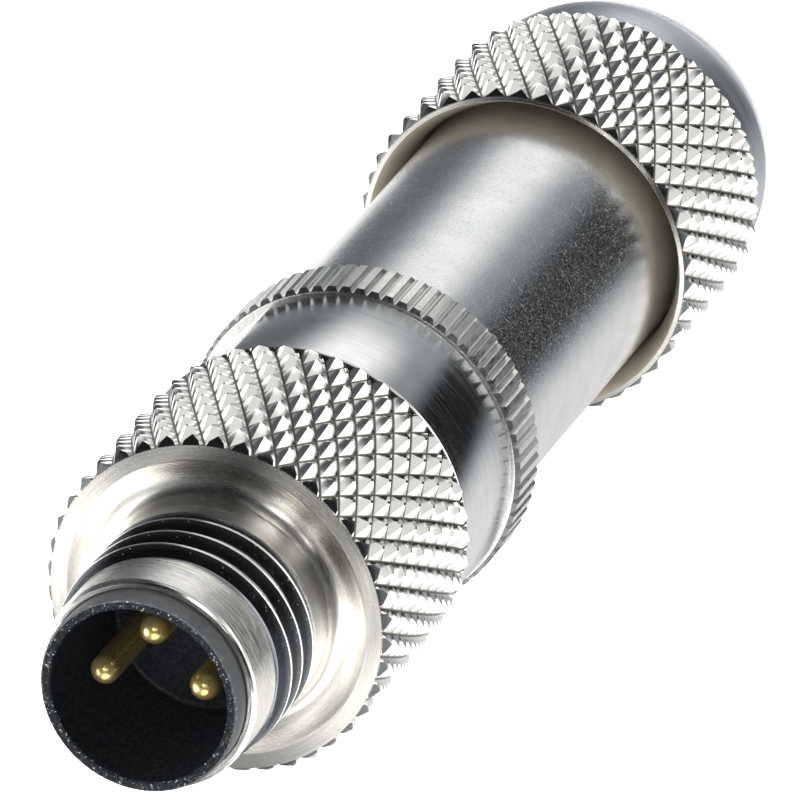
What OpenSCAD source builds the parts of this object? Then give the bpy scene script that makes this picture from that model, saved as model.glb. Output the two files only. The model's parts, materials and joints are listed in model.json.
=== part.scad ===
// Field-wired straight male cable connector with an M8 x 1 locking screw and three pins.
// Millimetres. +Z runs along the connector's axis towards the pins, the rear face of the
// clamping nut lies on z = 0, and the pins stand at 0, 90 and 180 degrees about the axis.

/* [Overall] */
// Length from the nut's rear face to the shroud's rim
total_len = 46.5; // [44.5:0.5:50.5]

/* [Locking screw] */
// Major diameter of the locking thread
thread_d = 8; // [7.9:0.05:8.1]
// Diameter of the plain pilot in front of the thread
pilot_d = 7.46; // [7.3:0.02:7.6]
// Depth of the thread's first full turn below the shroud's rim
thread_start_s = 2.5; // [2.3:0.1:2.7]
// Depth of the screw's front edge below the shroud's rim
screw_front_s = 0.9; // [0.6:0.1:1.2]
// Depth of the thread's rear end below the shroud's rim
thread_end_s = 5.5; // [5:0.1:5.8]
// Depth of the head's front face below the shroud's rim
head_front_s = 7.1; // [6.8:0.1:7.4]
// Depth of the head's rear face below the shroud's rim
head_rear_s = 15.2; // [15:0.1:15.5]
// Diameter over the head's diamond knurl
head_d = 12.2; // [12:0.1:12.5]
// Diameter of the neck between the thread and the head
neck_d = 8.3; // [8.1:0.1:8.8]

/* [Front housing] */
// Diameter of the smooth band
band_d = 11.4; // [11.2:0.1:11.6]
// Depth of the band's rear face below the shroud's rim
band_rear_s = 20; // [19.6:0.1:20.2]
// Distance across the band's two spanner flats
flats_af = 10.9; // [10.4:0.1:11.1]
// Direction of the first spanner flat about the axis
flat_angle = 136; // [0:1:180]

/* [Sleeve] */
// Diameter of the sleeve's plain barrel
sleeve_d = 10.1; // [9.8:0.05:10.1]
// Diameter over the collar's straight knurl
collar_d = 11.8; // [11.7:0.1:12.2]
// Length of the collar
collar_len = 2.2; // [1.8:0.1:2.6]
// Number of teeth round the collar
collar_teeth = 72; // [60:1:80]

/* [Clamping nut] */
// Diameter over the nut's diamond knurl
nut_d = 12.3; // [12:0.1:12.5]
// Height of the nut's mouth above its rear face
nut_mouth_z = 9.7; // [9.3:0.1:10.1]
// Height of the smooth rear band
nut_band_len = 2.35; // [2.2:0.05:2.6]
// Diameter of the cable entry
entry_d = 5.5; // [5:0.1:5.8]

/* [Contacts] */
// Outer diameter of the plastic shroud
shroud_d = 6.84; // [6.8:0.02:6.88]
// Inner diameter of the plastic shroud
shroud_id = 6.1; // [5.9:0.05:6.2]
// Depth of the shroud's floor below its rim
shroud_depth = 5.8; // [5:0.1:6]
// Diameter of a contact pin
pin_d = 1; // [0.9:0.05:1]
// Circle that the pins stand on
pin_pcd = 3.45; // [3.3:0.05:3.5]
// Depth of the pins' tips below the shroud's rim
pin_tip_s = 1.1; // [0.8:0.1:1.5]

/* [Hidden] */
$fn = 96;
e = 0.02;                       // slip between two pieces of one body
run = 0.06;                     // running clearance between bodies
L = total_len;
zc_front = L - screw_front_s;
zc_start = L - thread_start_s;
zc_thread = L - thread_end_s;
zc_face = L - head_front_s;
zc_rear = L - head_rear_s;
zb_front = zc_rear - 0.1;
zb_rear = L - band_rear_s;
zk_front = zb_rear;
zk_rear = zk_front - collar_len;
floor_z = L - shroud_depth;
tip_z = L - pin_tip_s;
nose_r = 4.6;                   // the housing's nose, on which the locking screw turns
bore_r = 3.77;                  // the housing's through bore
spigot_r = 4.25;                // the housing's rear spigot, threaded into the sleeve
insert_r = 3.7;
pin_angles = [0, 90, 180];
pin_names = ["contact_pin_1", "contact_pin_4", "contact_pin_3"];

// A turned solid from [radius, height] points, at full roundness
module turned(pts) rotate_extrude($fn = 96) polygon(pts);

// A ring of round section
module o_ring(mid_r, sec_r, z)
    translate([0, 0, z]) rotate_extrude($fn = 96) translate([mid_r, 0]) circle(sec_r, $fn = 32);

// The outline of a straight knurl: rounded lands with V grooves between them
module toothed(r, n, depth)
    polygon([for (i = [0:n - 1]) for (k = [[0.00, 0], [0.12, 1], [0.34, 1.0], [0.62, 1.0], [0.84, 1], [0.92, 0]])
        let (a = (i + k[0]) * 360 / n, q = r - depth * (1 - k[1])) [q * cos(a), q * sin(a)]]);

// Locking screw: thread, neck, dished face and knurled head, turned from one bar
module coupling_screw() color("silver")
    turned([
        [3.46, zc_front], [pilot_d / 2 - 0.12, zc_front], [pilot_d / 2, zc_front - 0.12],
        [pilot_d / 2, zc_start + 0.25], [thread_d / 2, zc_start],
        [thread_d / 2, zc_thread], [3.7, zc_thread - 0.12], [3.7, zc_thread - 0.5], [neck_d / 2, zc_thread - 0.62],
        [neck_d / 2, zc_face - 0.15], [neck_d / 2 + 0.12, zc_face - 0.36], [neck_d / 2 + 0.42, zc_face - 0.46],
        [neck_d / 2 + 0.85, zc_face - 0.34], [head_d / 2 - 0.75, zc_face], [head_d / 2 - 0.22, zc_face],
        [head_d / 2, zc_face - 0.22], [head_d / 2, zc_rear + 0.15], [head_d / 2 - 0.15, zc_rear],
        [nose_r + run, zc_rear],
        [nose_r + run, L - 9.75], [5.02, L - 9.75], [5.02, L - 9.1], [nose_r + run, L - 9.1],
        [nose_r + run, L - 8.5], [3.46, L - 8.5]]);

// Split spring ring that holds the locking screw on the nose
module coupling_clip() color("gainsboro")
    translate([0, 0, L - 9.65]) rotate([0, 0, 195]) rotate_extrude(angle = 328, $fn = 96)
        translate([4.24, 0]) square([0.72, 0.45]);

// Ring that damps the locking screw's turning
module coupling_o_ring() color("black") o_ring(4.38, 0.24, L - 12.4);

// Contact carrier: open shroud, floor with three pin holes, collar that seats in the housing
module contact_carrier() color("#1c1e20") difference() {
    turned([[0, floor_z], [shroud_id / 2, floor_z], [shroud_id / 2, L - 0.08], [shroud_id / 2 + 0.08, L],
            [shroud_d / 2 - 0.1, L], [shroud_d / 2, L - 0.1], [shroud_d / 2, L - 9.6],
            [bore_r - e, L - 9.6], [bore_r - e, L - 12.6], [0, L - 12.6]]);
    for (a = pin_angles) rotate([0, 0, a]) translate([pin_pcd / 2, 0, L - 13]) {
        cylinder(h = floor_z - 0.15 + e - (L - 13), r = 0.8 + e);
        cylinder(h = 9, r = pin_d / 2 + e);
    }
    // key slot of the collar
    translate([-0.6, -bore_r - 1, L - 13]) cube([1.2, 1.5, 2]);
}

// Contact: round pin with a ball end, collar, and a terminal barrel bored for the wire
module contact(a) color("#d8b04a") rotate([0, 0, a]) translate([pin_pcd / 2, 0, 0]) difference() {
    union() {
        turned([[0, L - 16], [0.8, L - 16], [0.8, floor_z - 0.15], [pin_d / 2, floor_z - 0.15], [pin_d / 2, tip_z - pin_d / 2], [0, tip_z - pin_d / 2]]);
        translate([0, 0, tip_z - pin_d / 2]) sphere(pin_d / 2, $fn = 48);
        turned([[0, L - 27.4], [0.95, L - 27.4], [0.95, L - 16.15], [0.8, L - 16], [0, L - 16]]);
    }
    translate([0, 0, L - 28]) cylinder(h = 7.5, r = 0.62, $fn = 48);
    translate([0, 0, L - 25]) rotate([0, 90, 0]) cylinder(h = 2, r = 0.5 + e, $fn = 48);
}
module contact_pin_1() contact(0);
module contact_pin_4() contact(90);
module contact_pin_3() contact(180);

// Ring that seals the carrier against the housing's lip
module carrier_o_ring() color("black") o_ring(3.61, 0.13, L - 9.33);

// Slotted ring that holds the carrier from behind
module carrier_lock_ring() color("silver") difference() {
    translate([0, 0, L - 13.8]) cylinder(h = 1.18, r = bore_r - e);
    translate([0, 0, L - 14]) cylinder(h = 2, r = 2.95);
    translate([-5, -0.35, L - 14]) cube([10, 0.7, 0.7]);
}

// Front housing: nose, band with two flats, and the threaded rear spigot
module front_housing() color("silver") difference() {
    turned([
        [3.5, L - 8.65], [nose_r - 0.15, L - 8.65], [nose_r, L - 8.8], [nose_r, L - 9.12],
        [4.2, L - 9.12], [4.2, L - 9.72], [nose_r, L - 9.72],
        [nose_r, L - 12.1], [4.13, L - 12.1], [4.13, L - 12.7], [nose_r, L - 12.7],
        [nose_r, zb_front], [band_d / 2 - 0.12, zb_front], [band_d / 2, zb_front - 0.12],
        [band_d / 2, zb_rear + 0.12 + e], [band_d / 2 - 0.12, zb_rear + e],
        [spigot_r, zb_rear + e], [spigot_r, zb_rear - 4.1], [spigot_r - 0.2, zb_rear - 4.3],
        [bore_r, zb_rear - 4.3], [bore_r, L - 9.2], [3.5, L - 9.2]]);
    for (s = [0, 180]) rotate([0, 0, flat_angle + s])
        translate([flats_af / 2, -8, zb_rear - 1]) cube([4, 16, zb_front - zb_rear + 2]);
}

// Rear insulator with a chamber for each terminal barrel and a side hole for each screw
module terminal_insert() color("#2a6f4e") difference() {
    union() {
        translate([0, 0, L - 29]) cylinder(h = 15.15, r = insert_r);
    }
    for (a = pin_angles) rotate([0, 0, a]) translate([pin_pcd / 2, 0, 0]) {
        translate([0, 0, L - 29.5]) cylinder(h = 13.55, r = 0.95 + e, $fn = 48);
        translate([0, 0, L - 17]) cylinder(h = 4, r = 0.8 + e, $fn = 48);
        translate([0, 0, L - 25]) rotate([0, 90, 0]) cylinder(h = 4, r = 0.78, $fn = 48);
    }
    // key groove for the liner
    translate([-0.5, -insert_r - 0.5, L - 29.5]) cube([1, 0.9, 10]);
}

// Slotted clamping screw of one terminal
module terminal_screw(a) color("silver") rotate([0, 0, a]) translate([0, 0, L - 25]) difference() {
    union() {
        translate([pin_pcd / 2 + 0.63, 0, 0]) rotate([0, 90, 0]) cylinder(h = 0.8, r = 0.5, $fn = 48);
        translate([pin_pcd / 2 + 0.97, 0, 0]) rotate([0, 90, 0]) cylinder(h = 0.85, r = 0.74, $fn = 48);
    }
    translate([3.25, -1, -0.12]) cube([1, 2, 0.24]);
}
module terminal_screw_1() terminal_screw(0);
module terminal_screw_4() terminal_screw(90);
module terminal_screw_3() terminal_screw(180);

// Ring that seals the sleeve against the housing
module sleeve_o_ring() color("black") o_ring(4.5, 0.21, zb_rear - 0.25);

// Sleeve: knurled collar and plain barrel with a coarse thread at its rear end
module body_sleeve() color("gainsboro") difference() {
    union() {
        turned([[4, zk_rear + 0.1], [sleeve_d / 2, zk_rear + 0.1], [sleeve_d / 2, 3.7], [sleeve_d / 2 - 0.3, 3.4], [4, 3.4]]);
        intersection() {
            translate([0, 0, zk_rear]) linear_extrude(collar_len - 0.03) toothed(collar_d / 2, collar_teeth, 0.17);
            turned([[0, zk_rear], [collar_d / 2 - 0.18, zk_rear], [collar_d / 2 + 0.02, zk_rear + 0.2],
                    [collar_d / 2 + 0.02, zk_front - 0.3], [collar_d / 2 - 0.25, zk_front - 0.03], [0, zk_front - 0.03]]);
        }
    }
    turned([[0, 2.5], [4.1, 2.5], [3.9, 4.1], [3.9, 4.9], [4.35, 5.5], [4.35, zk_front - 1.2], [4.35, zk_front - 0.6], [4.8, zk_front - 0.6], [4.8, L], [0, L]]);
}

// Plastic tube that insulates the terminals from the sleeve, with a key that stops it turning on the insulator
module insulating_liner() color("ivory") union() {
    difference() {
        translate([0, 0, L - 31]) cylinder(h = 6.3, r = 4.28);
        translate([0, 0, L - 32]) cylinder(h = 10, r = 3.86);
    }
    intersection() {
        translate([-0.4, -4.1, L - 31]) cube([0.8, 0.65, 6.3]);
        translate([0, 0, L - 32]) cylinder(h = 10, r = 4.2);
    }
}

// Strain relief cage: ring with fingers that close on the cable
module clamping_cage() color("#2b2d30") difference() {
    turned([[3.05, 2.7], [3.86, 2.7], [3.86, 5.1], [4.2, 5.7], [4.2, 13.5], [3.05, 13.5]]);
    for (a = [0:60:300]) rotate([0, 0, a]) translate([0, -0.3, 2]) cube([6, 0.6, 5.5]);
}

// Rubber sleeve that seals on the cable
module gland_seal() color("#3a3a3a")
    turned([[2.4, 6.1], [3.03, 6.1], [3.03, 13.3], [2.4, 13.3]]);

// Washer that lets the nut turn without dragging the cage
module thrust_washer() color("gainsboro") difference() {
    translate([0, 0, 2.16]) cylinder(h = 0.5, r = 4.2);
    translate([0, 0, 1.5]) cylinder(h = 2, r = 2.9);
}

// Clamping nut: open skirt round the sleeve, thread behind it, rounded rear end with the cable entry
module clamping_nut() color("silver")
    turned([
        [entry_d / 2, 0], [nut_d / 2 - 1, 0], [nut_d / 2 - 0.78, 0.12], [nut_d / 2 - 0.62, 0.36], [nut_d / 2 - 0.52, 0.75],
        [nut_d / 2 - 0.45, 1.3], [nut_d / 2 - 0.41, 1.9], [nut_d / 2 - 0.41, nut_band_len], [nut_d / 2, nut_band_len + 0.15],
        [nut_d / 2, nut_mouth_z - 0.35], [nut_d / 2 - 0.3, nut_mouth_z], [5.66, nut_mouth_z], [5.2, nut_mouth_z - 1.1],
        [5.2, 6.7], [sleeve_d / 2 + run, 6.3], [sleeve_d / 2 + run, 3.1], [4.5, 2.7], [4.5, 2.1], [entry_d / 2, 2.1]]);

coupling_screw();
coupling_clip();
coupling_o_ring();
contact_carrier();
contact_pin_1();
contact_pin_3();
contact_pin_4();
carrier_o_ring();
carrier_lock_ring();
front_housing();
terminal_insert();
terminal_screw_1();
terminal_screw_3();
terminal_screw_4();
sleeve_o_ring();
body_sleeve();
insulating_liner();
clamping_cage();
gland_seal();
thrust_washer();
clamping_nut();
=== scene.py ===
import json
import math

import bmesh
import bpy
import numpy as np
from mathutils import Matrix, Vector


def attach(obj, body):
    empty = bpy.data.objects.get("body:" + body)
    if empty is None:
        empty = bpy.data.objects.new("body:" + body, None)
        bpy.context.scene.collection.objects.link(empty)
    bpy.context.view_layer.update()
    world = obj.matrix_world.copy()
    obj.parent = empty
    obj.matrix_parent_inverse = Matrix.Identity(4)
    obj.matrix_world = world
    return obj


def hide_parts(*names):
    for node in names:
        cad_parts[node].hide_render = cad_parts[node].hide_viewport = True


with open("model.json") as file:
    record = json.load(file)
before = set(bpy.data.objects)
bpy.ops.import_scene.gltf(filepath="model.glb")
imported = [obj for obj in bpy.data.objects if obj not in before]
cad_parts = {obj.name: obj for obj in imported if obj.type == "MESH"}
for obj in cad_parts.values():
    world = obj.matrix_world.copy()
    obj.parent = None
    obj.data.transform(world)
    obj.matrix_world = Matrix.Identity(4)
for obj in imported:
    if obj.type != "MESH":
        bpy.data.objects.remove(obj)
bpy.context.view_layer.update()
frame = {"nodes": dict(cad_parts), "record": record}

MM = 0.001
L = 46.5                      # overall length, mm
PI2 = 2 * math.pi


# ---------------------------------------------------------------- meshes
def mesh_object(name, verts, faces, mm=True):
    me = bpy.data.meshes.new(name)
    v = np.asarray(verts, float) * (MM if mm else 1.0)
    me.from_pydata([tuple(p) for p in v], [], [tuple(int(i) for i in f) for f in faces])
    me.update()
    bm = bmesh.new()
    bm.from_mesh(me)
    bmesh.ops.recalc_face_normals(bm, faces=bm.faces)
    bm.to_mesh(me)
    bm.free()
    ob = bpy.data.objects.new(name, me)
    bpy.context.scene.collection.objects.link(ob)
    return ob


def lathe(name, pts, seg=288):
    """A closed solid of revolution from a closed (r, z) outline in mm. Points at r = 0 become poles."""
    verts, rings = [], []
    for r, z in pts:
        if r < 1e-9:
            rings.append([len(verts)] * seg)
            verts.append((0, 0, z))
        else:
            rings.append(list(range(len(verts), len(verts) + seg)))
            verts += [(r * math.cos(PI2 * i / seg), r * math.sin(PI2 * i / seg), z) for i in range(seg)]
    faces = []
    n = len(pts)
    for k in range(n):
        a, b = rings[k], rings[(k + 1) % n]
        if a[0] == a[1] and b[0] == b[1]:
            continue
        for i in range(seg):
            j = (i + 1) % seg
            f = [a[i], a[j], b[j], b[i]]
            f = [x for q, x in enumerate(f) if x != f[q - 1]]
            if len(f) > 2:
                faces.append(f)
    return mesh_object(name, verts, faces)


def arc(cx, cz, r, a0, a1, n):
    return [(cx + r * math.cos(math.radians(a0 + (a1 - a0) * i / n)), cz + r * math.sin(math.radians(a0 + (a1 - a0) * i / n))) for i in range(n + 1)]


def boolean(a, b, op):
    m = a.modifiers.new("b", "BOOLEAN")
    m.operation, m.solver, m.object = op, "MANIFOLD", b
    bpy.context.view_layer.update()
    dg = bpy.context.evaluated_depsgraph_get()
    new = bpy.data.meshes.new_from_object(a.evaluated_get(dg))
    a.modifiers.clear()
    a.data = new
    bpy.data.objects.remove(b)
    return a


def diamond_knurl(name, R, depth, z0, z1, teeth, period, phase=0.0):
    """A solid rod whose side is a raised diamond knurl: each cell is a pyramid with a small tip and narrow rounded grooves."""
    frac = [0, 0.035, 0.45, 0.5, 0.55, 0.965]
    m = len(frac)

    def shape(h):
        return float(np.interp(h, [0, 0.07, 0.90, 1.0], [0.0, 0.03, 0.985, 1.0]))

    index, verts, faces = {}, [], []

    def node(U, V, i, j):
        U, i = (U + 1, 0) if i == m else (U, i)
        V, j = (V + 1, 0) if j == m else (V, j)
        s = U + V                     # angle index, wraps at 2 * teeth with z fixed
        w = math.floor(s / (2 * teeth))
        U, V = U - w * teeth, V - w * teeth
        key = (U, V, i, j)
        if key not in index:
            u, v = U + frac[i], V + frac[j]
            a = math.pi * (u + v) / teeth + phase
            z = period * (u - v) / 2 + z0
            du, dv = abs(frac[i] - round(frac[i])), abs(frac[j] - round(frac[j]))
            r = R - depth * (1 - shape(2 * min(du, dv)))
            index[key] = len(verts)
            verts.append((r * math.cos(a), r * math.sin(a), z))
        return index[key]

    rows = int(math.ceil((z1 - z0) / (period / 2)))
    edge = {}
    for q in range(-1, rows + 1):           # z centre of the row is q * period / 2 + z0
        for s in range(0, 2 * teeth):
            if (s + q) % 2:
                continue
            U, V = (s + q) // 2, (s - q) // 2
            for i in range(m):
                for j in range(m):
                    a, b, c, d = node(U, V, i, j), node(U, V, i + 1, j), node(U, V, i + 1, j + 1), node(U, V, i, j + 1)
                    if i + j == m - 1:
                        tri = ((a, b, d), (b, c, d))
                    else:
                        tri = ((a, b, c), (a, c, d))
                    for t in tri:
                        faces.append(t)
                        for x, y in ((t[0], t[1]), (t[1], t[2]), (t[2], t[0])):
                            if (y, x) in edge:
                                del edge[(y, x)]
                            else:
                                edge[(x, y)] = True
    zmid = (z0 + z1) / 2 * 1.0
    lo = len(verts)
    verts.append((0, 0, z0 - period))
    hi = len(verts)
    verts.append((0, 0, z0 + (rows + 1) * period / 2 + period))
    for x, y in edge:
        top = verts[x][2] > zmid
        faces.append((y, x, hi if top else lo))
    return mesh_object(name, verts, faces)


def thread_rod(name, r_crest, r_root, pitch, z0, turns, crest=0.14, root=0.30, seg=192):
    """A solid rod with a right-handed helical thread."""
    flank = (pitch - crest - root) / 2
    mid = root + flank + crest / 2
    prof = [(0.0, r_root + 0.03), (root * 0.5, r_root), (root, r_root + 0.03)]
    prof += [(mid + 0.09 * math.sin(math.radians(t)), r_crest - 0.055 * (1 - math.cos(math.radians(t)))) for t in (-75, -50, -25, 0, 25, 50, 75)]
    M = len(prof)
    rows = turns * M + 1
    verts, idx = [], {}
    for k in range(rows + M):
        dz, r = prof[k % M]
        base = (k // M) * pitch + dz
        for i in range(seg):
            a = PI2 * i / seg
            idx[(k, i)] = len(verts)
            verts.append((r * math.cos(a), r * math.sin(a), z0 + base + pitch * i / seg))
    faces, edge = [], {}
    for k in range(rows + M - 1):
        for i in range(seg):
            if i == seg - 1:
                if k + M + 1 > rows + M - 1:
                    continue
                f = (idx[(k, i)], idx[(k + M, 0)], idx[(k + M + 1, 0)], idx[(k + 1, i)])
            else:
                f = (idx[(k, i)], idx[(k, i + 1)], idx[(k + 1, i + 1)], idx[(k + 1, i)])
            faces.append(f)
            for x, y in ((f[0], f[1]), (f[1], f[2]), (f[2], f[3]), (f[3], f[0])):
                if (y, x) in edge:
                    del edge[(y, x)]
                else:
                    edge[(x, y)] = True
    zmid = z0 + pitch * (turns / 2 + 0.5)
    lo = len(verts)
    verts.append((0, 0, z0 - 1))
    hi = len(verts)
    verts.append((0, 0, z0 + pitch * (turns + 3)))
    for x, y in edge:
        zz = (verts[x][2] + verts[y][2]) / 2
        faces.append((y, x, hi if zz > zmid else lo))
    return mesh_object(name, verts, faces)


def ring_box(name, r_out, za, zb, seg=96, r_in=0.0):
    pts = [(r_in, za), (r_out, za), (r_out, zb), (r_in, zb)]
    return lathe(name, pts, seg)


def finish_piece(ob, body, node, sharp=28):
    me = ob.data
    bm = bmesh.new()
    bm.from_mesh(me)
    bmesh.ops.remove_doubles(bm, verts=bm.verts, dist=2e-7)
    bmesh.ops.dissolve_degenerate(bm, dist=1e-7, edges=bm.edges)
    bm.to_mesh(me)
    bm.free()
    me.polygons.foreach_set("use_smooth", [True] * len(me.polygons))
    me.set_sharp_from_angle(angle=math.radians(sharp))
    me.update()
    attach(ob, body)
    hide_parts(node)
    return ob


def by_face(ob, mats, pick):
    """Gives each face a material by its centre radius, height (mm) and normal."""
    me = ob.data
    me.materials.clear()
    for m in mats:
        me.materials.append(m)
    n = len(me.polygons)
    c = np.empty(n * 3)
    nn = np.empty(n * 3)
    me.polygons.foreach_get("center", c)
    me.polygons.foreach_get("normal", nn)
    c = c.reshape(-1, 3) / MM
    nn = nn.reshape(-1, 3)
    r = np.hypot(c[:, 0], c[:, 1])
    radial = (nn[:, 0] * c[:, 0] + nn[:, 1] * c[:, 1]) / np.maximum(r, 1e-6)
    me.polygons.foreach_set("material_index", [int(i) for i in pick(r, c[:, 2], nn[:, 2], radial)])
    me.update()


# ---------------------------------------------------------------- node helper
class G:
    """Short hand for building a material's node tree."""

    def __init__(self, name, world=False):
        if world:
            self.t = bpy.data.worlds.new(name)
        else:
            self.t = bpy.data.materials.new(name)
        self.t.use_nodes = True
        self.nt = self.t.node_tree
        self.nt.nodes.clear()

    def n(self, kind, **kw):
        nd = self.nt.nodes.new(kind)
        for k, v in kw.items():
            setattr(nd, k, v)
        return nd

    def set(self, sock, v):
        if isinstance(v, bpy.types.NodeSocket):
            self.nt.links.new(v, sock)
        elif v is not None:
            sock.default_value = v

    def math(self, op, a, b=None, c=None, clamp=False):
        nd = self.n("ShaderNodeMath", operation=op, use_clamp=clamp)
        for s, v in zip(nd.inputs, (a, b, c)):
            if v is not None:
                self.set(s, v)
        return nd.outputs[0]

    def vmath(self, op, a, b=None, out=0):
        nd = self.n("ShaderNodeVectorMath", operation=op)
        self.set(nd.inputs[0], a)
        if b is not None:
            self.set(nd.inputs[1], b)
        return nd.outputs[out]

    def xyz(self, v):
        nd = self.n("ShaderNodeSeparateXYZ")
        self.set(nd.inputs[0], v)
        return nd.outputs

    def comb(self, x, y, z):
        nd = self.n("ShaderNodeCombineXYZ")
        for s, v in zip(nd.inputs, (x, y, z)):
            self.set(s, v)
        return nd.outputs[0]

    def noise(self, vec, scale, detail=2.0, rough=0.5, out=0, dist=0.0):
        nd = self.n("ShaderNodeTexNoise")
        self.set(nd.inputs["Vector"], vec)
        self.set(nd.inputs["Scale"], scale)
        self.set(nd.inputs["Detail"], detail)
        self.set(nd.inputs["Roughness"], rough)
        self.set(nd.inputs["Distortion"], dist)
        return nd.outputs[out]

    def voronoi(self, vec, scale, feature="F1", out="Distance"):
        nd = self.n("ShaderNodeTexVoronoi", feature=feature)
        self.set(nd.inputs["Vector"], vec)
        self.set(nd.inputs["Scale"], scale)
        return nd.outputs[out]

    def ramp(self, x, a, b, lo=0.0, hi=1.0, smooth=True):
        nd = self.n("ShaderNodeMapRange", interpolation_type="SMOOTHSTEP" if smooth else "LINEAR")
        for k, v in zip(("Value", "From Min", "From Max", "To Min", "To Max"), (x, a, b, lo, hi)):
            self.set(nd.inputs[k], v)
        return nd.outputs[0]

    def mix(self, f, a, b):
        nd = self.n("ShaderNodeMix", data_type="RGBA")
        self.set(nd.inputs["Factor"], f)
        self.set(nd.inputs["A"] if False else nd.inputs[6], a)
        self.set(nd.inputs[7], b)
        return nd.outputs[2]

    def mixf(self, f, a, b):
        nd = self.n("ShaderNodeMix", data_type="FLOAT")
        self.set(nd.inputs[0], f)
        self.set(nd.inputs[2], a)
        self.set(nd.inputs[3], b)
        return nd.outputs[0]

    def bump(self, h, strength, dist, normal=None):
        nd = self.n("ShaderNodeBump")
        self.set(nd.inputs["Height"], h)
        self.set(nd.inputs["Strength"], strength)
        self.set(nd.inputs["Distance"], dist)
        if normal is not None:
            self.set(nd.inputs["Normal"], normal)
        return nd.outputs[0]

    def principled(self, **kw):
        nd = self.n("ShaderNodeBsdfPrincipled")
        for k, v in kw.items():
            self.set(nd.inputs[k.replace("_", " ")], v)
        out = self.n("ShaderNodeOutputMaterial")
        self.nt.links.new(nd.outputs[0], out.inputs[0])
        return nd


def c4(r, g, b):
    return (r, g, b, 1.0)


def coords(g):
    """Object position in mm, and its radius, angle and height about the axis."""
    tc = g.n("ShaderNodeTexCoord").outputs["Object"]
    p = g.vmath("SCALE", tc)
    p.node.inputs["Scale"].default_value = 1000.0
    x, y, z = g.xyz(p)
    r = g.math("SQRT", g.math("ADD", g.math("MULTIPLY", x, x), g.math("MULTIPLY", y, y)))
    a = g.math("ARCTAN2", y, x)
    return p, x, y, z, r, a


def brushed_vec(g, x, y, z, r, kr, kz, kc=0.0):
    """A coordinate that is stretched along the turning direction: fine across r and z, long around the axis."""
    ux = g.math("DIVIDE", x, g.math("MAXIMUM", r, 0.001))
    uy = g.math("DIVIDE", y, g.math("MAXIMUM", r, 0.001))
    return g.comb(g.math("MULTIPLY", ux, kc), g.math("MULTIPLY", uy, kc), g.math("ADD", g.math("MULTIPLY", z, kz), g.math("MULTIPLY", r, kr)))


def mat_knurl(name="nickel_knurl", valley=5.66, crest=6.1):
    g = G(name)
    p, x, y, z, r, a = coords(g)
    n1 = g.noise(p, 2.2, 4, 0.6)
    n2 = g.noise(p, 14.0, 3, 0.6)
    # painted shade: the colour turns dark (0.20) at the very bottom of the knurl grooves, set by radius just above the
    # valley
    deep = g.ramp(r, valley + 0.008, valley + 0.035)
    tint = g.mix(g.ramp(n1, 0.35, 0.7), c4(0.96, 0.955, 0.93), c4(0.91, 0.90, 0.87))
    col = g.mix(deep, c4(0.20, 0.195, 0.165), tint)
    rough = g.math("ADD", g.ramp(n2, 0.3, 0.75, 0.10, 0.20), g.math("MULTIPLY", g.math("SUBTRACT", 1.0, deep), 0.25))
    h = g.math("ADD", g.math("MULTIPLY", n2, 0.6), g.math("MULTIPLY", g.noise(p, 40, 2, 0.5), 0.4))
    b = g.bump(h, 0.3, 0.00001)
    g.principled(Base_Color=col, Metallic=1.0, Roughness=rough, Normal=b)
    return g.t


def mat_turned(name, base, base2, rough0, rough1, kr, kz, kc, strength, dist, aniso=0.0, metal=1.0):
    """Nickel over fine turning marks that run round the axis."""
    g = G(name)
    p, x, y, z, r, a = coords(g)
    v = brushed_vec(g, x, y, z, r, kr, kz, kc)
    fine = g.noise(v, 1.0, 3, 0.7)
    coarse = g.noise(v, 0.23, 2, 0.5)
    cloud = g.noise(p, 0.9, 3, 0.5)
    col = g.mix(g.ramp(g.math("ADD", g.math("MULTIPLY", cloud, 0.6), g.math("MULTIPLY", fine, 0.4)), 0.3, 0.75), base, base2)
    rough = g.ramp(fine, 0.25, 0.8, rough0, rough1)
    h = g.math("ADD", g.math("MULTIPLY", fine, 0.65), g.math("MULTIPLY", coarse, 0.35))
    b = g.bump(h, strength, dist)
    pr = g.principled(Base_Color=col, Metallic=metal, Roughness=rough, Normal=b)
    if aniso:
        pr.inputs["Anisotropic"].default_value = aniso
        pr.inputs["Anisotropic Rotation"].default_value = 0.25
        g.set(pr.inputs["Tangent"], g.n("ShaderNodeTangent", direction_type="RADIAL", axis="Z").outputs[0])
    return g.t


def mat_satin(name="nickel_satin"):
    g = G(name)
    p, x, y, z, r, a = coords(g)
    grain = g.noise(p, 11.0, 4, 0.65)
    v = g.comb(g.math("MULTIPLY", a, 5.0 * 3.6), g.math("MULTIPLY", r, 0.5), g.math("MULTIPLY", z, 14.0))
    scr = g.noise(v, 1.0, 2, 0.6)
    marks = g.ramp(g.noise(v, 0.55, 2, 0.6), 0.64, 0.78)
    cloud = g.noise(p, 0.7, 3, 0.5)
    col = g.mix(g.ramp(cloud, 0.3, 0.7), c4(0.84, 0.85, 0.86), c4(0.76, 0.775, 0.79))
    col = g.mix(g.math("MULTIPLY", marks, 0.35), col, c4(0.90, 0.91, 0.92))
    rough = g.ramp(grain, 0.25, 0.8, 0.17, 0.29)
    pits = g.ramp(g.noise(p, 15.0, 2, 0.5), 0.60, 0.70)
    h = g.math("ADD", g.math("MULTIPLY", grain, 0.6), g.math("MULTIPLY", scr, 0.35))
    h = g.math("ADD", h, g.math("MULTIPLY", g.math("MAXIMUM", g.math("MULTIPLY", pits, 0.35), g.math("MULTIPLY", marks, 0.6)), 0.9))
    b = g.bump(h, 0.5, 0.000012)
    g.principled(Base_Color=col, Metallic=1.0, Roughness=rough, Normal=b)
    return g.t


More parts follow.
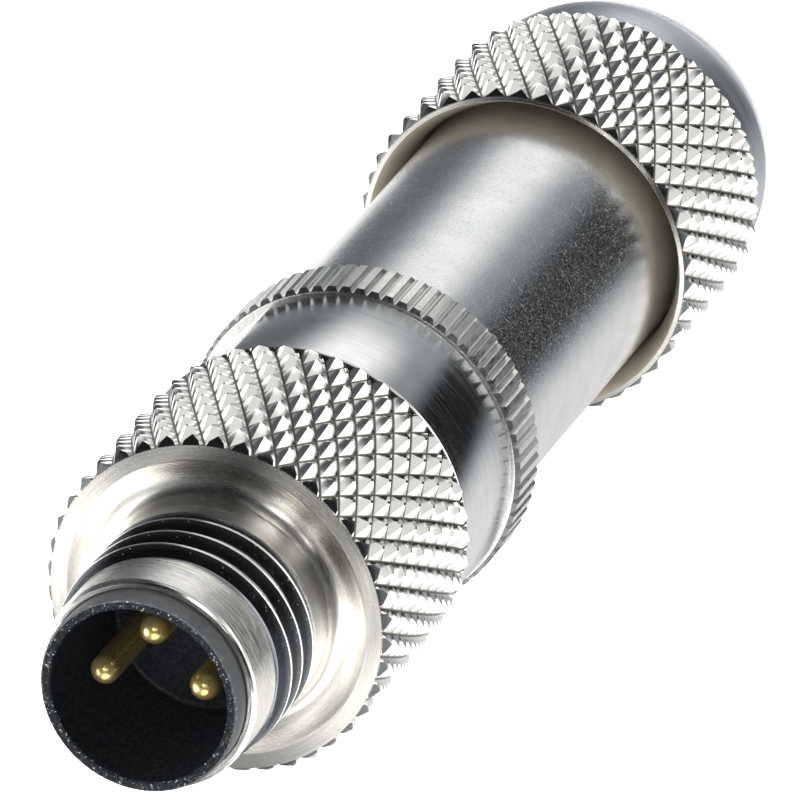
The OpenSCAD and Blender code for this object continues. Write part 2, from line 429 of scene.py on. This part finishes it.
def mat_thread(name="nickel_thread"):
    g = G(name)
    p, x, y, z, r, a = coords(g)
    n = g.noise(p, 9.0, 4, 0.65)
    spec = g.ramp(g.voronoi(p, 5.5), 0.0, 0.12, 1.0, 0.0)
    # painted shade: the thread roots are painted dark grey (0.34), fading out by r = 3.98 mm
    deep = g.ramp(r, 3.80, 3.98)
    col = g.mix(deep, c4(0.34, 0.35, 0.37), c4(0.95, 0.94, 0.92))
    rough = g.ramp(n, 0.25, 0.8, 0.10, 0.22)
    b = g.bump(g.math("ADD", n, g.math("MULTIPLY", spec, 1.5)), 0.6, 0.000014)
    g.principled(Base_Color=col, Metallic=1.0, Roughness=rough, Normal=b)
    return g.t


def mat_plastic(name, col0, col1, rough0, rough1, wear=0.0, level=0.25, dist=0.00001):
    g = G(name)
    p, x, y, z, r, a = coords(g)
    n = g.noise(p, 6.0, 4, 0.6)
    f = g.noise(p, 34.0, 2, 0.6)
    col = g.mix(g.ramp(n, 0.35, 0.7), col0, col1)
    if wear:
        rim = g.ramp(z, L - 0.14, L - 0.02)
        sp = g.ramp(g.noise(p, 11.0, 5, 0.75), 0.58, 0.68)
        col = g.mix(g.math("MULTIPLY", g.math("MULTIPLY", rim, sp), wear), col, c4(0.34, 0.35, 0.35))
    rough = g.ramp(n, 0.3, 0.7, rough0, rough1)
    b = g.bump(g.math("ADD", g.math("MULTIPLY", f, 0.6), g.math("MULTIPLY", n, 0.4)), 0.3, dist)
    g.principled(Base_Color=col, Metallic=0.0, Roughness=rough, Normal=b, Specular_IOR_Level=level)
    return g.t


def mat_gold(name="gold"):
    g = G(name)
    p, x, y, z, r, a = coords(g)
    n = g.noise(p, 8.0, 3, 0.6)
    col = g.mix(g.ramp(n, 0.3, 0.7), c4(1.0, 0.80, 0.34), c4(0.94, 0.70, 0.24))
    rough = g.ramp(n, 0.3, 0.75, 0.22, 0.32)
    b = g.bump(g.noise(p, 26, 3, 0.6), 0.25, 0.000003)
    g.principled(Base_Color=col, Metallic=0.965, Roughness=rough, Normal=b)
    return g.t


def mat_simple(name, col0, col1, metallic, rough0, rough1, scale=6.0):
    g = G(name)
    p, x, y, z, r, a = coords(g)
    n = g.noise(p, scale, 4, 0.6)
    col = g.mix(g.ramp(n, 0.3, 0.7), col0, col1)
    b = g.bump(g.noise(p, scale * 4, 2, 0.6), 0.25, 0.00005)
    g.principled(Base_Color=col, Metallic=metallic, Roughness=g.ramp(n, 0.3, 0.7, rough0, rough1), Normal=b)
    return g.t


# the knurl's groove bottoms, just above r = 5.785 mm, are darkened as painted shade
KNURL = mat_knurl("nickel_knurl", 5.785, 6.1)
FACE = mat_turned("nickel_face", c4(0.95, 0.925, 0.88), c4(0.87, 0.83, 0.76), 0.23, 0.32, 9.0, 9.0, 1.2, 0.4, 0.00002, 0.88)
LAND = mat_turned("nickel_land", c4(0.96, 0.95, 0.93), c4(0.86, 0.84, 0.80), 0.14, 0.30, 9.0, 11.0, 1.5, 0.7, 0.00004, 0.5)
# painted shade with a painted cool reflection: a darker, blue-grey copy of the nickel, for the nut's rear dome
REAR = mat_turned("nickel_rear", c4(0.66, 0.70, 0.76), c4(0.56, 0.60, 0.66), 0.30, 0.42, 6.0, 8.0, 1.6, 0.4, 0.00002)
BAND = mat_turned("nickel_band", c4(0.88, 0.885, 0.89), c4(0.78, 0.79, 0.80), 0.10, 0.22, 9.0, 13.0, 2.4, 0.4, 0.000008, 0.5)
SATIN = mat_satin()
THREAD = mat_thread()
OUTER = mat_plastic("black_plastic_outer", c4(0.028, 0.030, 0.032), c4(0.042, 0.044, 0.046), 0.36, 0.50, 0.9, 0.5)
# painted shade: BLACK is a darker, less glossy copy of the black plastic, used inside the carrier's shroud and on its
# floor
BLACK = mat_plastic("black_plastic", c4(0.0045, 0.005, 0.006), c4(0.008, 0.009, 0.010), 0.22, 0.32, 0.9, 0.14, 0.000002)
GOLD = mat_gold()
RUBBER = mat_simple("black_rubber", c4(0.02, 0.02, 0.02), c4(0.035, 0.035, 0.035), 0.0, 0.55, 0.7)
STEEL = mat_simple("spring_steel", c4(0.60, 0.60, 0.60), c4(0.52, 0.52, 0.53), 1.0, 0.22, 0.4)
GREEN = mat_simple("green_plastic", c4(0.03, 0.17, 0.10), c4(0.04, 0.21, 0.13), 0.0, 0.35, 0.5)
MILKY = mat_simple("natural_plastic", c4(0.70, 0.68, 0.60), c4(0.76, 0.74, 0.68), 0.0, 0.35, 0.5)

SLOT_MATS = {"nickel_knurl": KNURL, "nickel_band": BAND, "nickel_satin": SATIN, "black_plastic": BLACK, "gold": GOLD,
             "black_rubber": RUBBER, "spring_steel": STEEL, "green_plastic": GREEN, "natural_plastic": MILKY}
slots = {s["node"]: s["material_slot"] for s in frame["record"]["subparts"]}
for nm, ob in frame["nodes"].items():
    me = ob.data
    m = SLOT_MATS[slots[nm]]
    if not me.materials:
        me.materials.append(m)
    for i in range(len(me.materials)):
        me.materials[i] = m

# ---------------------------------------------------------------- locking screw
TEETH = 42
PERIOD = 1.716
zf, zr = L - 7.1, L - 15.2
prof = ([(3.46, L - 0.9), (3.60, L - 0.9), (3.68, L - 0.94), (3.73, L - 1.04), (3.73, L - 2.62), (3.72, L - 2.76), (3.70, L - 2.84), (4.0, L - 2.86),
         (4.0, L - 5.78), (3.93, L - 5.84), (3.93, L - 7.0)] +
        [(3.97, L - 7.12), (4.04, L - 7.24), (4.16, L - 7.34), (4.32, L - 7.41), (4.52, L - 7.43), (4.74, L - 7.39), (4.94, L - 7.31), (5.12, L - 7.21), (5.20, L - 7.14), (5.23, L - 7.12), (5.27, L - 7.10)] +
        [(5.79, zf), (5.83, zf - 0.02), (6.10, zf - 0.32), (6.10, zr + 0.46), (5.84, zr + 0.22), (5.80, zr + 0.05), (5.69, zr),
         (4.66, zr), (4.66, L - 9.75), (5.02, L - 9.75), (5.02, L - 9.1), (4.66, L - 9.1), (4.66, L - 8.5), (3.46, L - 8.5)])
screw = lathe("locking_screw", prof, 288)
kn = diamond_knurl("k1", 6.11, 0.325, zr - 0.6, zf + 0.9, TEETH, PERIOD)
cut = boolean(ring_box("c1", 7.0, zr + 0.30, zf + 0.5, 96), kn, "DIFFERENCE")
boolean(screw, cut, "DIFFERENCE")
rod = thread_rod("t1", 4.0, 3.62, 1.0, L - 7.22, 6)
cut = boolean(ring_box("c2", 4.6, L - 5.80, L - 2.80, 96), rod, "DIFFERENCE")
boolean(screw, cut, "DIFFERENCE")
by_face(screw, [KNURL, FACE, THREAD, LAND],
        lambda r, z, nz, rad: np.where((r < 4.02) & (z > L - 7.15) & ((z >= L - 2.79) | (z < L - 5.83)), 3, np.where((r < 4.3) & (z > L - 5.83) & (z < L - 2.79) & (r > 3.58), 2, np.where((r > 5.7) & (z < zf - 0.01) & (z > zr + 0.10), 0, 1))))
finish_piece(screw, "coupling", "coupling_screw", 24)

# ---------------------------------------------------------------- front housing: band with flats
zb0, zb1 = L - 20 + 0.02, L - 15.3
prof = [(3.46, L - 8.65), (4.45, L - 8.65), (4.6, L - 8.8), (4.6, L - 9.12), (4.2, L - 9.12), (4.2, L - 9.72), (4.6, L - 9.72),
        (4.6, L - 12.1), (4.13, L - 12.1), (4.13, L - 12.7), (4.6, L - 12.7), (4.6, zb1), (5.58, zb1), (5.66, zb1 - 0.03), (5.70, zb1 - 0.12),
        (5.70, zb0 + 0.14), (5.67, zb0 + 0.05), (5.56, zb0), (4.25, zb0), (4.25, zb0 - 4.1), (4.05, zb0 - 4.3), (3.77, zb0 - 4.3), (3.77, L - 9.2), (3.46, L - 9.2)]
house = lathe("front_band", prof, 360)
for s in (136, 316):
    a = math.radians(s)
    bx = mesh_object("bx", [(x, y, z) for x in (5.45, 9) for y in (-6, 6) for z in (zb0 - 0.5, zb1 + 0.5)],
                     [(0, 1, 3, 2), (4, 6, 7, 5), (0, 4, 5, 1), (2, 3, 7, 6), (0, 2, 6, 4), (1, 5, 7, 3)])
    bx.data.transform(Matrix.Rotation(a, 4, "Z"))
    boolean(house, bx, "DIFFERENCE")
by_face(house, [BAND], lambda r, z, nz, rad: np.zeros(len(r), int))
finish_piece(house, "housing", "front_housing", 20)

# ---------------------------------------------------------------- sleeve with straight-knurled collar
zk1, zk0 = L - 20 - 0.03, L - 22.2
prof = [(4.35, zk1 - 1.17), (4.35, zk1 - 0.57), (4.8, zk1 - 0.57), (4.8, zk1), (5.70, zk1), (5.74, zk1 - 0.01), (5.90, zk1 - 0.14), (5.90, zk0 + 0.24), (5.70, zk0 + 0.02), (5.66, zk0),
        (5.12, zk0), (5.05, zk0 - 0.07), (5.05, 3.7), (4.75, 3.4), (4.09, 3.4), (3.9, 4.1), (3.9, 4.9), (4.35, 5.5)]
sleeve = lathe("satin_sleeve", prof, 288)
NT = 72
verts, faces = [], []
out = []
for i in range(NT):
    for k, d in ((0.02, 0.03), (0.08, 0.03), (0.16, 0.06), (0.28, 0.155), (0.34, 0.17), (0.80, 0.17), (0.86, 0.155), (0.96, 0.06)):
        a = PI2 * (i + k) / NT
        out.append((a, 5.72 + d + (0.012 if d > 0.16 else 0)))
no = len(out)
for z in (zk0 - 0.4, zk1 + 0.4):
    verts += [(r * math.cos(a), r * math.sin(a), z) for a, r in out]
    verts.append((0, 0, z))
for i in range(no):
    j = (i + 1) % no
    b = no + 1
    faces += [(i, j, b + j, b + i), (j, i, no), (b + i, b + j, b + no)]
teeth = mesh_object("teeth", verts, faces)
cut = boolean(ring_box("c3", 7.0, zk0 - 0.01, zk1 + 0.2, 96), teeth, "DIFFERENCE")
boolean(sleeve, cut, "DIFFERENCE")
COLLAR = mat_turned("nickel_collar", c4(0.84, 0.84, 0.82), c4(0.72, 0.72, 0.70), 0.24, 0.40, 6.0, 1.5, 30.0, 0.5, 0.00002)
by_face(sleeve, [COLLAR, SATIN], lambda r, z, nz, rad: np.where((z > zk0 - 0.005) & (r > 5.1), 0, 1))
finish_piece(sleeve, "sleeve", "body_sleeve", 24)

# ---------------------------------------------------------------- clamping nut
zm = 9.7
prof = ([(2.75, 0.0), (2.78, 0.0), (5.06, 0.0), (5.15, 0.01), (5.27, 0.05), (5.38, 0.13), (5.46, 0.22), (5.54, 0.36), (5.60, 0.53), (5.64, 0.75), (5.69, 1.1),
         (5.72, 1.5), (5.74, 1.9), (5.75, 2.25), (5.76, 2.33), (5.85, 2.38), (6.15, 2.62)] +
        [(6.15, zm - 0.32), (5.87, zm - 0.02), (5.83, zm), (5.68, zm), (5.65, zm - 0.03), (5.45, zm - 0.5), (5.22, zm - 1.1), (5.20, 6.7), (5.11, 6.3), (5.11, 3.1), (4.5, 2.7), (4.5, 2.1), (2.78, 2.1), (2.75, 2.07)])
nut = lathe("clamp_nut", prof, 288)
kn = diamond_knurl("k2", 6.16, 0.325, 1.2, zm + 0.9, TEETH, PERIOD, 0.03)
cut = boolean(ring_box("c4", 7.0, 2.34, zm + 0.5, 96), kn, "DIFFERENCE")
boolean(nut, cut, "DIFFERENCE")
INSIDE = mat_turned("nickel_inside", c4(0.55, 0.50, 0.41), c4(0.44, 0.395, 0.31), 0.30, 0.42, 5.0, 5.0, 1.0, 0.4, 0.00002, 0.0, 0.5)
# the nut's knurl grooves, just above r = 5.835 mm, are darkened as painted shade
NUTK = mat_knurl("nickel_knurl_nut", 5.835, 6.15)
# the nut's rear dome (index 1) takes the darker blue-grey nickel as painted shade
by_face(nut, [NUTK, REAR, INSIDE, FACE], lambda r, z, nz, rad: np.where((z > zm - 0.005), 3, np.where((r < 5.67) & (z > 2.5), 2, np.where((r > 5.7) & (z > 2.345), 0, 1))))
finish_piece(nut, "nut", "clamping_nut", 24)

# ---------------------------------------------------------------- contact carrier
fz = L - 5.8
prof = ([(0, fz), (2.89, fz), (2.96, fz + 0.02), (3.02, fz + 0.07), (3.05, fz + 0.16), (3.05, L - 0.10), (3.07, L - 0.04), (3.12, L)] +
        [(3.34, L), (3.40, L - 0.04), (3.42, L - 0.11), (3.42, L - 9.6), (3.75, L - 9.6), (3.75, L - 12.6), (0, L - 12.6)])
carrier = lathe("carrier_shroud", prof, 256)
for a in (0, 90, 180):
    h = ring_box("h", 0.52, L - 13, fz + 0.5, 48)
    h.data.transform(Matrix.Rotation(math.radians(a), 4, "Z") @ Matrix.Translation((1.725 * MM, 0, 0)))
    boolean(carrier, h, "DIFFERENCE")
    h = ring_box("h", 0.82, L - 13, fz - 0.13, 48)
    h.data.transform(Matrix.Rotation(math.radians(a), 4, "Z") @ Matrix.Translation((1.725 * MM, 0, 0)))
    boolean(carrier, h, "DIFFERENCE")
# the carrier's outer wall takes the plain black plastic; everything else, its inside and floor among it, takes the
# darker copy as painted shade
by_face(carrier, [BLACK, OUTER], lambda r, z, nz, rad: np.where((r > 3.36) & (z > L - 9), 1, 0))
finish_piece(carrier, "housing", "contact_carrier", 30)

# ---------------------------------------------------------------- contact pins
tz = L - 1.1
for nm, a in (("contact_pin_1", 0), ("contact_pin_4", 90), ("contact_pin_3", 180)):
    prof = ([(0, L - 27.4), (0.95, L - 27.4), (0.95, L - 16.15), (0.8, L - 16), (0.8, fz - 0.2), (0.75, fz - 0.15), (0.5, fz - 0.15)] +
            [(0.5 * math.cos(math.radians(t)), tz - 0.5 + 0.5 * math.sin(math.radians(t))) for t in range(0, 90, 6)] + [(0, tz)])
    pin = lathe("pin_" + nm[-1], prof, 64)
    pin.data.transform(Matrix.Rotation(math.radians(a), 4, "Z") @ Matrix.Translation((1.725 * MM, 0, 0)))
    by_face(pin, [GOLD], lambda r, z, nz, rad: np.zeros(len(r), int))
    finish_piece(pin, "housing", nm, 30)

# ---------------------------------------------------------------- camera
ax = Vector((0.93860199, 0.00169894, -0.3449977))
ay = Vector((-0.14737961, 0.90612778, -0.3964993))
az = Vector((0.31193837, 0.42300066, 0.85074373))
F, D, PX, PY = 17263.5, 559.06, 138.03, 696.65
P = Vector((0, 0, L))
pos = P - ax * ((PX - 400) / F * D) + ay * ((PY - 400) / F * D) + az * D
cam = bpy.data.cameras.new("camera")
cam.sensor_width = 36.0
cam.lens = F * 36 / 800
cam.clip_start, cam.clip_end = 0.01, 20
camo = bpy.data.objects.new("camera", cam)
bpy.context.scene.collection.objects.link(camo)
rot = Matrix((ax, ay, az)).transposed().to_4x4()
camo.matrix_world = Matrix.Translation(pos * MM) @ rot
bpy.context.scene.camera = camo

# ---------------------------------------------------------------- stage and light
fl = mesh_object("floor", [(-1.5, -1.5, -0.0002), (1.5, -1.5, -0.0002), (1.5, 1.5, -0.0002), (-1.5, 1.5, -0.0002)], [(0, 1, 2, 3)], mm=False)
g = G("floor_white")
tc = g.n("ShaderNodeTexCoord").outputs["Object"]
g.principled(Base_Color=g.mix(g.noise(tc, 8.0, 2, 0.5), c4(0.93, 0.93, 0.93), c4(0.95, 0.95, 0.95)), Roughness=0.9)
fl.data.materials.append(g.t)
fl.visible_glossy = False

w = G("studio", world=True)
d = w.n("ShaderNodeTexCoord").outputs["Generated"]
dx, dy, dz = w.xyz(d)


def direction(az_deg, el_deg):
    a, e = math.radians(az_deg), math.radians(el_deg)
    return (math.cos(e) * math.cos(a), math.cos(e) * math.sin(a), math.sin(e))


def soft(az_deg, el_deg, width, power):
    """A round soft light or dark panel, in its direction, that fades with the angle."""
    dd = w.vmath("DOT_PRODUCT", d, direction(az_deg, el_deg), out=1)
    k = 0.9 / (1 - math.cos(math.radians(width)))
    e = w.math("EXPONENT", w.math("MULTIPLY", w.math("SUBTRACT", dd, 1.0), k))
    return w.math("MULTIPLY", e, power)


el = w.math("DEGREES", w.math("ARCSINE", dz))
az = w.math("DEGREES", w.math("ARCTAN2", dy, dx))


def panel(az0, az1, el0, el1, soft_az, soft_el, power):
    """A panel between two directions of azimuth and two of elevation, with soft edges."""
    mid, half = (az0 + az1) / 2, (az1 - az0) / 2
    da = w.math("ABSOLUTE", w.math("SUBTRACT", w.math("WRAP", w.math("SUBTRACT", az, mid), 180.0, -180.0), 0.0))
    a = w.ramp(da, half - soft_az / 2, half + soft_az / 2, 1.0, 0.0)
    mid, half = (el0 + el1) / 2, (el1 - el0) / 2
    de = w.math("ABSOLUTE", w.math("SUBTRACT", el, mid))
    return w.math("MULTIPLY", w.math("MULTIPLY", a, w.ramp(de, half - soft_el / 2, half + soft_el / 2, 1.0, 0.0)), power)


level = w.math("ADD", 0.30, 0.0)
for box in ((74, 124, -68, -43, 34, 10, 0.85),         # pale table below the wall's middle left
            (-124, -30, -68, -42, 36, 12, 0.50),       # and below its right
            (-180, 180, -95, -79, 10, 8, 0.9),         # table straight below
            (198, 240, -72, -46, 8, 12, 0.9),          # its far edge
            (-86, 40, -42, -4, 16, 8, 1.5),            # long light low in front
            (38, 102, -42, -4, 12, 8, 0.48),           # fainter at its left end
            (166, 262, -50, -17, 10, 10, 1.6),         # light at the left
            (180, 222, 14, 54, 8, 12, 3.4),          # window above left
            (-101, -40, 32, 68, 8, 12, 2.5)):        # and above right
    level = w.math("ADD", level, panel(*box))
for box in ((104, 160, -44, -10, 5, 8, 0.20),          # dark gap between the lights
            (93, 162, -8, 50, 16, 10, 0.28),
            (142, 200, -70, -52, 20, 8, 0.16),
            (-22, 42, -80, -45, 24, 8, 0.29)):
    level = w.math("SUBTRACT", level, panel(*box))
for light in ((44, 66, 45, -0.52), (-97, -4, 18, -0.22), (-126, 58, 9, 0.25), (68, 71, 5, 9.0), (30, 60, 4, 6.0), (200, -74, 8, 0.9)):
    level = w.math("ADD", level, soft(*light))
level = w.math("MAXIMUM", level, 0.012)
cool = w.mix(w.ramp(level, 0.05, 0.8), c4(0.90, 0.965, 1.03), c4(1.0, 0.997, 0.985))
bg = w.n("ShaderNodeBackground")
w.set(bg.inputs["Color"], cool)
w.set(bg.inputs["Strength"], level)
wo = w.n("ShaderNodeOutputWorld")
w.nt.links.new(bg.outputs[0], wo.inputs[0])
bpy.context.scene.world = w.t


def area(name, loc, target, size, power, col=(1, 1, 1)):
    li = bpy.data.lights.new(name, "AREA")
    li.size, li.energy, li.color = size, power, col
    ob = bpy.data.objects.new(name, li)
    bpy.context.scene.collection.objects.link(ob)
    v = Vector(target) - Vector(loc)
    ob.matrix_world = Matrix.Translation(loc) @ v.to_track_quat("-Z", "Y").to_matrix().to_4x4()
    return ob


top = area("overhead", (0.0, 0.0, 0.7), (0, 0, 0), 0.9, 22.0)
top.visible_glossy = False
side = area("fill", (-0.45, 0.35, 0.35), (0, 0, 0.02), 0.5, 3.0)
side.visible_glossy = False
bpy.context.scene.view_settings.view_transform = "Standard"
bpy.context.scene.view_settings.look = "None"
